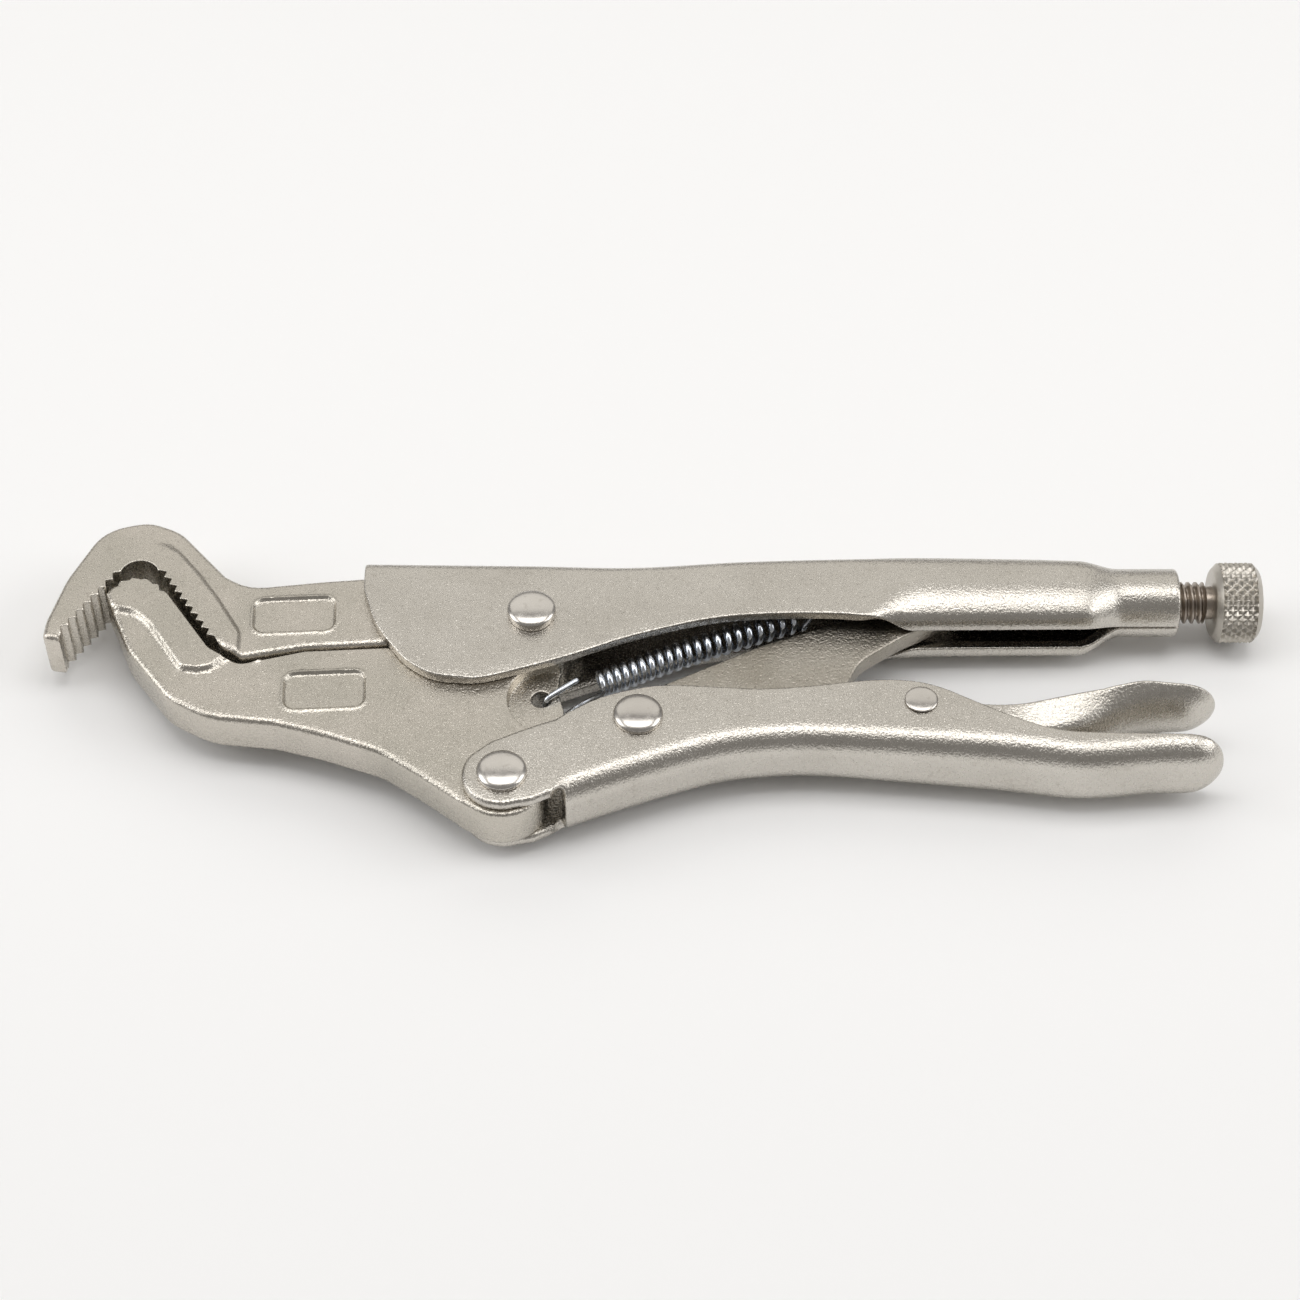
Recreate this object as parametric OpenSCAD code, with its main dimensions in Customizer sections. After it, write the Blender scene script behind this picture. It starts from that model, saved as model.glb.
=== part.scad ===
// Locking pliers with a hooked pipe jaw, lying flat on their side.
// The design is drawn with X = 0 at the jaw pivot, Y = 0 on the screw axis and Z = 0 on the
// middle plane, then moved once so that the lowest point rests on Z = 0.

/* [Sheet and widths] */
// Thickness of the handle sheet
sheet_t = 2.2; // [1.6:0.1:3]
// Outside half width of both handles at the jaws
half_w = 6.5; // [5.5:0.1:8]
// Outside half width of the upper handle round the screw
barrel_half_w = 8; // [6.5:0.1:10]
// Outside half width of the lower handle at the hand end
grip_half_w = 7.2; // [6.5:0.1:9]

/* [Jaws] */
// Thickness of both jaw shanks
shank_t = 8.4; // [6:0.1:10]
// Thickness of the toothed jaw heads
head_t = 10.3; // [8:0.1:14]
// Height of a saw tooth
tooth_h = 1; // [0.4:0.05:1.5]
// Saw teeth on the long side of the hook
hook_teeth = 10; // [6:1:16]
// Saw teeth on the nose of the hook
nose_teeth = 8; // [4:1:12]

/* [Pivots] */
// Shank radius of the three main rivets
rivet_r = 3.2; // [2:0.05:4]
// Head radius of the three main rivets
rivet_head_r = 4.5; // [3:0.1:6]
// Distance of the lever pivot below the jaw pivot
lever_drop = 37.8; // [30:0.1:45]
// Shank radius of the release lever's rivet
small_rivet_r = 2; // [1.5:0.05:3]
// Running clearance round every rivet
fit = 0.05; // [0.01:0.01:0.1]

/* [Screw and knob] */
// Outside radius of the screw thread
thread_r = 3.97; // [3:0.01:5]
// Thread pitch
pitch = 1.411; // [1:0.001:2]
// Knob radius
knob_r = 7.65; // [6:0.05:10]
// Knob length
knob_l = 8.8; // [6:0.1:14]
// Ridges round the knob
knob_ridges = 40; // [24:2:60]

/* [Spring] */
// Wire diameter
wire_d = 1; // [0.6:0.05:1.4]
// Outside diameter of the coil
coil_d = 5.3; // [4:0.1:7]
// Turns in the coil
coil_turns = 21; // [12:1:28]

/* [Hidden] */
$fn = 48;
jaw_pivot = [0, -8.5];
lever_pivot = [-4.3, jaw_pivot.y - lever_drop];
link_pivot = [19.9, -33.2];
release_pivot = [71.3, -30];
link_seat = [78.4, -2.4];
spring_hole = [2.1, -25.6];
jaw_rim = 1.3;
jaw_dome = 1.1;
part_lift = half_w + jaw_rim + jaw_dome;
part_centre = [23.3, -19.1];
gap_half = half_w - sheet_t;
ferrule_x0 = 111.3;
ferrule_x1 = 122;
ferrule_r = 6.55;
knob_x = 128.7;
nose_x = 80.3;
nose_l = 4;
nose_r = 3.2;
link_t = 4;
slot_half = 2.45;

// ---------- helpers ----------

function lerp(a, b, t) = a + (b - a) * t;
function clamp01(t) = min(1, max(0, t));
function ramp(x, a, b) = let (t = clamp01((x - a) / (b - a))) t * t * (3 - 2 * t);
function unit(v) = v / norm(v);
function flat(lists) = [for (l = lists) each l];

// A smooth curve through stations [x, y]. Its slope at a station is that between its two neighbours.
function slope(s, i) = let (a = s[max(i - 1, 0)], b = s[min(i + 1, len(s) - 1)]) (b.y - a.y) / (b.x - a.x);
function hermite(s, i, x) =
    let (h = s[i + 1].x - s[i].x, t = (x - s[i].x) / h)
    (1 + 2 * t) * (1 - t) * (1 - t) * s[i].y + t * (1 - t) * (1 - t) * h * slope(s, i)
    + t * t * (3 - 2 * t) * s[i + 1].y + t * t * (t - 1) * h * slope(s, i + 1);
function curve(s, x) =
    x <= s[0].x ? s[0].y
    : x >= s[len(s) - 1].x ? s[len(s) - 1].y
    : hermite(s, [for (i = [0 : len(s) - 2]) if (x >= s[i].x && x < s[i + 1].x) i][0], x);

// Paths from [x, y, corner radius], with each corner turned into an arc. bends() is an open path
// whose two ends stay as they are, and outline() is closed.
function arc_corner(a, b, c, r) =
    let (u = unit(a - b), v = unit(c - b), half = acos(max(-1, min(1, u * v))) / 2,
        centre = b + unit(u + v) * r / sin(half), p = b + u * r / tan(half) - centre,
        turn = (180 - 2 * half) * sign(cross(b - a, c - b)), a0 = atan2(p.y, p.x),
        n = max(1, round(abs(turn) / 15)))
    [for (k = [0 : n]) centre + r * [cos(a0 + turn * k / n), sin(a0 + turn * k / n)]];
function corner(a, b, c) =
    b[2] > 0 ? arc_corner([a.x, a.y], [b.x, b.y], [c.x, c.y], b[2]) : [[b.x, b.y]];
function bends(pts) =
    let (n = len(pts))
    flat([[[pts[0].x, pts[0].y]],
        for (i = [1 : n - 2]) corner(pts[i - 1], pts[i], pts[i + 1]),
        [[pts[n - 1].x, pts[n - 1].y]]]);
function outline(pts) =
    let (n = len(pts))
    flat([for (i = [0 : n - 1]) corner(pts[(i + n - 1) % n], pts[i], pts[(i + 1) % n])]);

// Saw teeth with their tips on the line from a to b, cut in on the left of the way from a to b.
function teeth(a, b, n, h) =
    let (d = (b - a) / n, up = [-unit(b - a).y, unit(b - a).x])
    [for (i = [0 : n - 1]) each [a + d * i, a + d * (i + 0.55) + up * h]];

// An arc of n steps round c.
function arc(c, r, a0, a1, n) =
    [for (k = [0 : n]) c + r * [cos(lerp(a0, a1, k / n)), sin(lerp(a0, a1, k / n))]];

// A solid skinned over rings of equal length. Each ring is an outer path followed by the inner
// path back, so its two end caps are strips between the paths.
module skin(rings) {
    n = len(rings[0]);
    m = len(rings);
    h = n / 2;
    sides = [for (j = [0 : m - 2], i = [0 : n - 1])
        let (a = j * n + i, b = j * n + (i + 1) % n)
        each [[a, b + n, b], [a, a + n, b + n]]];
    front = [for (i = [0 : h - 2]) each [[i, n - 2 - i, n - 1 - i], [i, i + 1, n - 2 - i]]];
    back = [for (f = front) [for (k = [2, 1, 0]) f[k] + (m - 1) * n]];
    polyhedron(flat(rings), concat(sides, front, back), convexity = 12);
}

// Half of a bent sheet section as [z, y]: web, corner, wall, curl and lip.
// top is the web's outer face, wall_y the lower end of the straight wall, curl the lip's turn.
function half_section(w, top, r, wall_y, curl, curl_r, lip, t) =
    let (ri = max(r - t, 0.2), foot = [w - curl_r, wall_y], way = [-sin(curl), -cos(curl)],
        outer_end = curl > 0 ? arc(foot, curl_r, 0, -curl, 4) : [[w, wall_y]],
        inner_end = curl > 0 ? arc(foot, curl_r - t, 0, -curl, 4) : [[w - t, wall_y]],
        lips = curl > 0 ? [[outer_end[4] + way * lip], [inner_end[4] + way * lip]] : [[], []])
    [concat([[0, top]], arc([w - r, top - r], r, 90, 0, 6), outer_end, lips[0]),
        concat([[0, top - t]], arc([w - t - ri, top - t - ri], ri, 90, 0, 6), inner_end, lips[1])];

// A whole section as [x, y, z], outer path then inner path back. flip = -1 opens it upwards.
function section(x, w, top, r, wall_y, curl, curl_r, lip, t, flip = 1) =
    let (s = half_section(w, top, r, wall_y, curl, curl_r, lip, t),
        n = len(s[0]),
        out = concat([for (i = [n - 1 : -1 : 1]) [-s[0][i].x, s[0][i].y]], s[0]),
        inn = concat([for (i = [n - 1 : -1 : 1]) [-s[1][i].x, s[1][i].y]], s[1]),
        loop = concat(out, [for (i = [len(inn) - 1 : -1 : 0]) inn[i]]))
    [for (p = loop) [x, p.y * flip, p.x * flip]];

// A plate standing on the middle plane.
module plate(pts, t) {
    translate([0, 0, -t / 2]) linear_extrude(t) polygon(pts);
}

// A pin hole right through.
module bore(at, r) {
    translate([at.x, at.y, -20]) cylinder(r = r, h = 40);
}

// A rivet with two domed heads outside the faces at z = +-face.
module rivet(at, r, head_r, face, rim, dome) {
    translate([at.x, at.y, 0])
        rotate_extrude() {
            profile = [[head_r, rim], for (k = [1 : 5]) [head_r * cos(18 * k), rim + dome * sin(18 * k)]];
            polygon(concat(
                [for (i = [5 : -1 : 0]) [profile[i].x, -face - profile[i].y]],
                [[head_r, -face], [r, -face], [r, face], [head_r, face]],
                [for (p = profile) [p.x, face + p.y]]));
        }
}

// ---------- upper handle ----------

function top_y(x) = curve([[-34, 5.4], [0, 4.9], [19, 4.5], [40, 6], [66, 6.8], [94, 6.4], [105, 6],
    [ferrule_x0, 6.35]], x);
function barrel(x) = ramp(x, 58, 73);
function closing(x) = ramp(x, ferrule_x0 - 8.3, ferrule_x0);
function edge_y(x) = curve([[-34, -25], [-16, -24], [-8, -23.4], [2, -20.6], [7, -18.8], [17.6, -14.4],
    [28.2, -11], [33.5, -9.7], [38.9, -8.9], [46.9, -8.4], [56, -8.4], [60, -8.7]], x);

function upper_ring(x) =
    let (b = barrel(x), e = closing(x), end_r = ferrule_r - 0.15,
        w = lerp(lerp(half_w, barrel_half_w, b), end_r, e),
        r = lerp(lerp(2.6, 4.6, b), end_r - 0.2, e),
        curl = lerp(lerp(8, 100, b), 86, e),
        cr = lerp(lerp(3, 4, b), end_r - 0.3, e),
        low = lerp(-9.5, -end_r, e),
        lip = (w - cr + cr * cos(curl) - lerp(slot_half, 0.15, e)) / sin(curl))
    section(x, w, top_y(x), r, lerp(edge_y(x), low + cr, b), curl, cr, lerp(0.1, lip, b), sheet_t);

// What is cut off the front of both walls, down to the bottom edge.
function front_cut() = concat(
    bends([[-31.9, 12, 0], [-31.9, 2.4, 0.5], [-31.8, -2, 4], [-29.1, -11.2, 20], [-23.2, -19.8, 12],
        [-18, -23.4, 10], [-8, -24.7, 0]]),
    [[-8, -40], [-50, -40], [-50, 12]]);

module upper_handle() {
    color("silver")
        difference() {
            union() {
                skin([for (x = flat([[-34, -20], [-12 : 5 : 53], [56 : 2 : 106], [108.5, ferrule_x0 + 0.4]]))
                    upper_ring(x)]);
                translate([ferrule_x0, 0, 0]) rotate([0, 90, 0])
                    cylinder(r = ferrule_r, h = ferrule_x1 - ferrule_x0);
                spring_anchor();
            }
            plate(front_cut(), 30);
            bore(jaw_pivot, rivet_r);
            translate([ferrule_x0 - 15, 0, 0]) rotate([0, 90, 0]) cylinder(r = thread_r + fit, h = 30);
        }
}

// A tab pressed down from the web, with the hole that holds the spring's end.
module spring_anchor() {
    difference() {
        translate([57, -1.6, -0.8]) cube([4.4, 7, 1.6]);
        bore([59.2, 0.4], 1);
    }
}

// ---------- jaws ----------

hook_a = [-71.2, 3.8];
hook_b = [-59.3, -14.2];
nose_a = [-87.6, -12];
nose_b = [-78.4, 3.4];

// The fixed jaw from the top of its shank round the hook and back under it.
function hook_outline() = concat(
    bends([[-30, 2.9, 0], [-40.4, 1.9, 0], [-53.8, 0.2, 9], [-58.5, 3.2, 0], [-68.4, 15, 7], [-74.6, 16.6, 9],
        [-83, 14.4, 9], [-88.4, 1.6, 12], [-90.9, -9, 6], [-91, -13.2, 1.2], [-87.7, -13.7, 0]]),
    teeth(nose_a, nose_b, nose_teeth, tooth_h),
    arc([-74.8, 2.5], 3.7, 166, 20, 6),
    teeth(hook_a, hook_b, hook_teeth, tooth_h),
    bends([[-57.9, -14.7, 0], [-57.3, -15.4, 0], [-53.6, -17.4, 1.5], [-42, -15, 0], [-30, -14.2, 0]]));

module fixed_jaw() {
    color("lightgray")
        difference() {
            union() {
                intersection() {
                    plate(hook_outline(), head_t);
                    plate([[-100, 30], [-77.7, 13.4], [-69.9, 12.2], [-63.4, 3.6], [-54, -11.5],
                        [-53.9, -20], [-100, -30]], 30);
                }
                plate(concat(hook_outline(), [[-11, -12.6], [-11, 2.2]]), shank_t + 0.1);
            }
            translate([jaw_pivot.x, jaw_pivot.y, -20]) cylinder(r = 10.3, h = 40);
            cartouche([-44.6, -6.8], 15.4, 8.6, 3, shank_t / 2);
        }
}

// A shallow panel with rounded ends, sunk in both faces.
module cartouche(at, l, w, turn, face) {
    for (side = [-1, 1])
        translate([at.x, at.y, side * face]) rotate([0, 0, turn])
            linear_extrude(0.5, center = true)
                polygon(outline([[-l / 2, -w / 2, 2.2], [l / 2, -w / 2, 2.2], [l / 2, w / 2, 2.2],
                    [-l / 2, w / 2, 2.2]]));
}

// The movable jaw: tongue, shank, pivot lobe, spring tab and lever lobe, going round it.
function tongue_outline() = concat(
    [[-78.3, 0.6], [-78.3, 1], [-76.4, 1.2], [-76.1, 1.9], [-74.1, 1.4], [-73.4, 1.8], [-71.8, 0.2],
        [-70.8, 0.3], [-70.4, -1.4]],
    bends([[-69.2, -1.6, 0], [-59.9, -15.5, 3], [-56.8, -17.7, 3], [-53.6, -18.9, 3], [-42, -15.8, 0]]));

function jaw_outline() = concat(
    tongue_outline(),
    [[-28, -15], [-13, -13.8]],
    arc(jaw_pivot, 9.4, 205, -15, 12),
    bends([[7.4, -14.2, 0], [5.4, -20, 4], [5.2, -24, 4], [6.6, -29, 4], [3.8, -37, 8], [3.7, -44.5, 0]]),
    arc(lever_pivot, 8, 0, -125, 8),
    bends([[-12.6, -50.4, 0], [-19.6, -44.9, 14], [-26.6, -39.9, 14], [-37.5, -35.8, 24], [-46.5, -33.2, 0],
        [-58.5, -31.8, 14], [-66.4, -27.2, 12], [-75, -15.6, 14], [-80.7, -2.1, 0.8], [-80, -0.4, 0]]));

module movable_jaw() {
    color("lightgray")
        difference() {
            union() {
                plate(jaw_outline(), shank_t);
                intersection() {
                    plate(jaw_outline(), head_t);
                    plate(concat([[-85, 5], [-60, 5], [-52, -18.2]],
                        bends([[-56.3, -18.4, 0], [-59.6, -21.2, 3], [-65.1, -20.6, 3], [-71.6, -9.6, 4],
                            [-74.8, -6.6, 4], [-85, -4.6, 0]])), 30);
                }
            }
            bore(jaw_pivot, rivet_r + fit);
            bore(lever_pivot, rivet_r + fit);
            bore(spring_hole, 1.9);
            for (side = [-1, 1])
                translate([4.2, -27, side * (shank_t / 2)]) cylinder(r = 8.2, h = 4.6, center = true);
            cartouche([-37.6, -25.2], 15, 8.8, 3, shank_t / 2);
        }
}

// ---------- lower handle ----------

function floor_y(x) = curve([[4, -52.2], [15, -47.7], [27, -43.1], [36, -40.4], [46, -39.2], [54, -39.2],
    [64, -40], [85, -42], [93, -43.1], [99, -43.9], [105, -43.7], [113, -42.8], [121, -42.5],
    [127, -40.6]], x);
function rim_y(x) = curve([[4, -34.2], [6.2, -32.9], [13, -28.8], [21, -26.3], [26, -25.8], [35, -26.3],
    [42, -26.7], [51, -26.1], [61, -24.9], [67, -24.8], [72, -25.6], [76, -27.2], [80, -29.5], [88, -33.9],
    [95, -36.6], [101, -37.4], [120, -37.9], [127, -38.4]], x);

function lower_ring(x) =
    let (g = ramp(x, 45, 90), end = clamp01((x - 119.5) / 7.4),
        w = lerp(half_w, grip_half_w, g) * sqrt(1 - 0.86 * end * end),
        r = min(lerp(4.4, 4.6, g), w - 0.1, rim_y(x) - floor_y(x) - 0.1))
    section(x, w, -floor_y(x), r, -rim_y(x), 0, 0, 0, sheet_t, -1);

module lower_handle() {
    color("silver")
        difference() {
            union() {
                skin([for (x = flat([[4, 7], [11 : 4 : 95], [98 : 3 : 116],
                    [119.5, 121.5, 123.3, 124.8, 126, 126.8]])) lower_ring(x)]);
                for (side = [-1, 1])
                    translate([0, 0, side * (half_w - sheet_t / 2)])
                        plate(concat(arc(lever_pivot, 7.3, 142, 290, 8),
                            bends([[1.2, -52.6, 0], [4.4, -50.8, 3], [8, -49, 0], [8, -32.1, 0]]),
                            [[5.6, -33.3], [3, -34.4], [-1.7, -36.5], [-6.6, -38.9]]), sheet_t);
            }
            bore(lever_pivot, rivet_r);
            bore(link_pivot, rivet_r);
            bore(release_pivot, small_rivet_r);
            // the notch that clears the movable jaw
            translate([-30, -70, -gap_half]) cube([36.6, 60, 2 * gap_half]);
            plate([[0, -70], [0, -50.9], [5, -51], [6.8, -52.4], [6.8, -70]], 30);
        }
}

// ---------- toggle link, washers and release lever ----------

module toggle_link() {
    way = unit(link_seat - link_pivot);
    side = [-way.y, way.x];
    l = norm(link_seat - link_pivot);
    function on_link(a, b) = link_pivot + way * a + side * b;
    function at(a, b, r) = let (p = on_link(a, b)) [p.x, p.y, r];
    color("lightgray")
        difference() {
            plate(outline([at(-6.6, -6.6, 6), at(16, -8.6, 20), at(37.8, -9.2, 5), at(44, -4.4, 8),
                at(54, -2.9, 14), at(l + 0.2, -2.7, 2.6), at(l + 0.2, 3.3, 3.29), at(54, 5, 12),
                at(30, 7.7, 20), at(9, 7.7, 8), at(-6.6, 6.6, 6)]), link_t);
            bore(link_pivot, rivet_r + fit);
        }
}

module link_washer(side) {
    color("gray")
        translate([link_pivot.x, link_pivot.y, side > 0 ? link_t / 2 + 0.05 : -gap_half + 0.05])
            difference() {
                cylinder(r = 5.6, h = gap_half - link_t / 2 - 0.1);
                translate([0, 0, -1]) cylinder(r = rivet_r + fit, h = 10);
            }
}

module link_washer_near() link_washer(1);

module link_washer_far() link_washer(-1);

release_t = 1.3;
// The release lever is a channel with its web on the lower side. Towards the tail its walls flare
// out until the whole section is a shallow spoon. These are the heights of its rim and its web.
function spoon_rim_y(x) = curve([[58, -26.6], [66, -26.3], [71.3, -26.2], [76, -26.8], [80, -27.8],
    [84, -28.6], [90, -29], [96.5, -28.3], [102, -27.5], [107.7, -26.6], [113, -25.9], [119, -26],
    [125.8, -26.3]], x);
function spoon_web_y(x) = curve([[58, -30], [64, -33.5], [70, -35.2], [80, -35.8], [90, -36],
    [98, -35.2], [104, -33], [110, -30.5], [116, -29.4], [125.8, -29]], x);

// One side of the section from its middle to the rim, lying off outside the middle surface.
function spoon_side(flat_w, r, turn, wall, web_y, off) =
    concat([[0, web_y - off]],
        [for (k = [0 : 6]) let (a = turn * k / 6)
            [flat_w + (r + off) * sin(a), web_y + r - (r + off) * cos(a)]],
        [[flat_w + r * sin(turn) + wall * cos(turn) + off * sin(turn),
            web_y + r * (1 - cos(turn)) + wall * sin(turn) - off * cos(turn)]]);

function release_ring(x) =
    let (g = ramp(x, 80, 106), end = clamp01((x - 116.5) / 9.3), small = sqrt(1 - 0.86 * end * end),
        turn = lerp(lerp(88, 70, ramp(x, 82, 98)), 47, ramp(x, 98, 113)),
        r = lerp(lerp(2.2, 3.2, ramp(x, 82, 98)), 8, ramp(x, 98, 113)) * small,
        w = lerp(gap_half - 0.2, 6.8, g) * small - release_t / 2 * sin(turn),
        rim = spoon_rim_y(x) + release_t / 2 * cos(turn),
        web = rim - (rim - spoon_web_y(x) - release_t / 2) * small,
        wall = max((rim - web - r * (1 - cos(turn))) / sin(turn), 0.3),
        flat_w = max(w - r * sin(turn) - wall * cos(turn), 0.15),
        out = spoon_side(flat_w, r, turn, wall, web, release_t / 2),
        inn = spoon_side(flat_w, r, turn, wall, web, -release_t / 2), n = len(out),
        loop = concat([for (i = [n - 1 : -1 : 1]) [-out[i].x, out[i].y]], out,
            [for (i = [n - 1 : -1 : 0]) inn[i]], [for (i = [1 : n - 1]) [-inn[i].x, inn[i].y]]))
    [for (q = loop) [x, q.y, -q.x]];

module release_lever() {
    color("silver")
        difference() {
            skin([for (x = flat([[58 : 2 : 86], [90 : 4 : 114], [116.5, 119.5, 121.8, 123.5, 124.8, 125.6]]))
                release_ring(x)]);
            bore(release_pivot, small_rivet_r + fit);
        }
}

// ---------- rivets ----------

module jaw_pivot_rivet() color("gainsboro")
    rivet(jaw_pivot, rivet_r, rivet_head_r, half_w, jaw_rim, jaw_dome);

module lever_pivot_rivet() color("gainsboro")
    rivet(lever_pivot, rivet_r, rivet_head_r, half_w, 0.5, 1.3);

module link_pivot_rivet() color("gainsboro")
    rivet(link_pivot, rivet_r, rivet_head_r, half_w, 0.5, 1.3);

module release_pivot_rivet() color("gainsboro")
    rivet(release_pivot, small_rivet_r, 3, half_w + 0.55, 0.15, 0.5);

// ---------- screw, knob and spring ----------

module screw_nose() {
    color("gray")
        translate([nose_x, 0, 0]) rotate([0, 90, 0]) {
            cylinder(r1 = nose_r - 0.6, r2 = nose_r, h = 0.6);
            translate([0, 0, 0.6]) cylinder(r = nose_r, h = nose_l - 0.6);
            cylinder(r = 1.5, h = nose_l + 6);
        }
}

// The thread is a row of grooves, each one pitch long, where it stands clear of the handle.
module adjusting_screw() {
    depth = 0.85;
    start = ferrule_x1 - 0.2;
    turns = floor((knob_x - 2 - start) / pitch);
    color("dimgray")
        translate([nose_x + nose_l + 0.05, 0, 0]) rotate([0, 90, 0]) {
            l = knob_x - nose_x - nose_l - 0.05;
            s = start - nose_x - nose_l - 0.05;
            rotate_extrude()
                polygon(concat([[1.55, 0], [thread_r - 0.8, 0], [thread_r, 0.8]],
                    [for (i = [0 : turns - 1]) each [
                        [thread_r, s + pitch * (i + 0.1)],
                        [thread_r - depth, s + pitch * (i + 0.45)],
                        [thread_r - depth, s + pitch * (i + 0.65)],
                        [thread_r, s + pitch * (i + 1)]]],
                    [[thread_r, s + pitch * turns + 0.05], [thread_r - depth, s + pitch * turns + 0.6],
                        [thread_r - depth, l + 4], [0, l + 4], [0, 6.2], [1.55, 6.2]]));
        }
}

module adjusting_knob() {
    color("gainsboro")
        translate([knob_x, 0, 0]) rotate([0, 90, 0])
            difference() {
                rotate_extrude()
                    polygon([[3.12, 0], [knob_r - 1.3, 0], [knob_r, 1.3], [knob_r, knob_l - 1.3],
                        [knob_r - 1.3, knob_l], [0, knob_l], [0, 4], [3.12, 4]]);
                for (i = [0 : knob_ridges - 1])
                    rotate([0, 0, 360 * i / knob_ridges])
                        translate([knob_r + 0.25, 0, -1]) rotate([0, 0, 45])
                            cube([0.7, 0.7, knob_l * 4], center = true);
            }
}

coil_a = [12.6, -20.6];
coil_b = [50.5, -3.9];
coil_r = (coil_d - wire_d) / 2;

// The coil's axis bows up a little, and its turns open towards the handle's end.
function coil_axis(t) =
    let (p = lerp(coil_a, coil_b, 0.78 * t + 0.22 * t * t)) [p.x, p.y + 0.7 * sin(180 * t), 0];

function coil_point(t) =
    let (n = unit([coil_a.y - coil_b.y, coil_b.x - coil_a.x, 0]), a = 360 * coil_turns * t - 90)
    coil_axis(t) + coil_r * (n * sin(a) + [0, 0, 1] * cos(a));

function spring_path() = concat(
    [[8.6, -21.8, 3], [5.4, -24.4, 3], [3.4, -25.8, 2.5], [2.9, -26.1, 1.2], [2.9, -26.1, -1.2],
        [3.3, -26.1, -2.3], [4.4, -26.2, -2.8], [6.6, -25.6, -2.6], [8.6, -24.6, -1.6]],
    [for (k = [0 : coil_turns * 12]) coil_point(k / (coil_turns * 12))],
    [[53, -2.6, 0], [57.2, 0, 1.5], [58.9, 0.4, 1.5], [59.3, 0.4, 0], [58.9, 0.4, -1.5],
        [57.4, 0.3, -1.6]]);

// A round wire along a path, six-sided.
module wire(path, d) {
    n = len(path);
    side = 6;
    rings = [for (i = [0 : n - 1])
        let (t = unit(path[min(i + 1, n - 1)] - path[max(i - 1, 0)]),
            ref = [-unit(coil_b - coil_a).x, -unit(coil_b - coil_a).y, 0.03],
            u = unit(cross(t, abs(t * ref) > 0.9 ? [0, 0, 1] : ref)), v = cross(t, u))
        [for (k = [0 : side - 1]) path[i] + d / 2 * (u * cos(360 * k / side) + v * sin(360 * k / side))]];
    polyhedron(flat(rings), concat(
        [for (j = [0 : n - 2], i = [0 : side - 1])
            let (a = j * side + i, b = j * side + (i + 1) % side)
            each [[a, b + side, b], [a, a + side, b + side]]],
        [[for (i = [0 : side - 1]) i], [for (i = [side - 1 : -1 : 0]) (n - 1) * side + i]]), convexity = 20);
}

module return_spring() color("slategray") wire(spring_path(), wire_d);

// ---------- assembly ----------

translate([-part_centre.x, -part_centre.y, part_lift]) {
    upper_handle();
    fixed_jaw();
    movable_jaw();
    lower_handle();
    toggle_link();
    release_lever();
    jaw_pivot_rivet();
    lever_pivot_rivet();
    link_pivot_rivet();
    release_pivot_rivet();
    link_washer_near();
    link_washer_far();
    screw_nose();
    adjusting_screw();
    adjusting_knob();
    return_spring();
}
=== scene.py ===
import math

import bpy
import numpy as np
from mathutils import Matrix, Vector
from mathutils.geometry import delaunay_2d_cdt


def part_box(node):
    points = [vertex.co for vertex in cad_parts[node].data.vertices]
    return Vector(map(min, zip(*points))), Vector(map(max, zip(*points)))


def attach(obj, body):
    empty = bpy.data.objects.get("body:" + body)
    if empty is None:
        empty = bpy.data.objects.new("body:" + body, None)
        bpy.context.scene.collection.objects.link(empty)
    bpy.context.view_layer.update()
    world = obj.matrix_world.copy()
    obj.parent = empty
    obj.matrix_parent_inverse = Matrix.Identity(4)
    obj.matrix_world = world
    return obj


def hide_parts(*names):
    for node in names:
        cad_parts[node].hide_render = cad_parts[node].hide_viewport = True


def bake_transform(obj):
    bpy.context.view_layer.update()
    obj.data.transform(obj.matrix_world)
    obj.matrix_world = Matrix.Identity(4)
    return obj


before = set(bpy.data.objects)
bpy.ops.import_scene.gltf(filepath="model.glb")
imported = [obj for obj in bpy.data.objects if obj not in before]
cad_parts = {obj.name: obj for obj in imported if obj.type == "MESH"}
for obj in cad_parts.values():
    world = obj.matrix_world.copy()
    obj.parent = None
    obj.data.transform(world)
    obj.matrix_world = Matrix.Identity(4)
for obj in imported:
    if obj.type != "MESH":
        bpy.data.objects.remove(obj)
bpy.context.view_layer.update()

# ---------- the design frame ----------
# Pieces are drawn in millimetres with the jaw pivot at x = 0, the screw's axis at y = 0 and the
# middle plane at z = 0. The jaw pivot's rivet says where that is in the shared frame.

JAW_PIVOT = np.array([0.0, -8.5])
LEVER_PIVOT = np.array([-4.3, -46.3])
LINK_PIVOT = np.array([19.9, -33.2])
RELEASE_PIVOT = np.array([71.3, -30.0])
LINK_SEAT = np.array([78.4, -2.4])
RIVET_LOW, RIVET_HIGH = (np.array(corner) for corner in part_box("jaw_pivot_rivet"))
ORIGIN = (RIVET_LOW + RIVET_HIGH) / 2 - np.array([JAW_PIVOT[0], JAW_PIVOT[1], 0]) / 1000


def to_frame(points):
    """Points of the design frame, in mm, as points of the shared frame, in metres."""
    return np.asarray(points, float) / 1000 + ORIGIN


# ---------- camera ----------

AIM = to_frame([22.07, -11.90, 0])
DISTANCE = 0.525
ELEVATION = math.radians(49)
SENSOR_WIDTH = 36
FOCAL_LENGTH = SENSOR_WIDTH * 28 / 13


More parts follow.
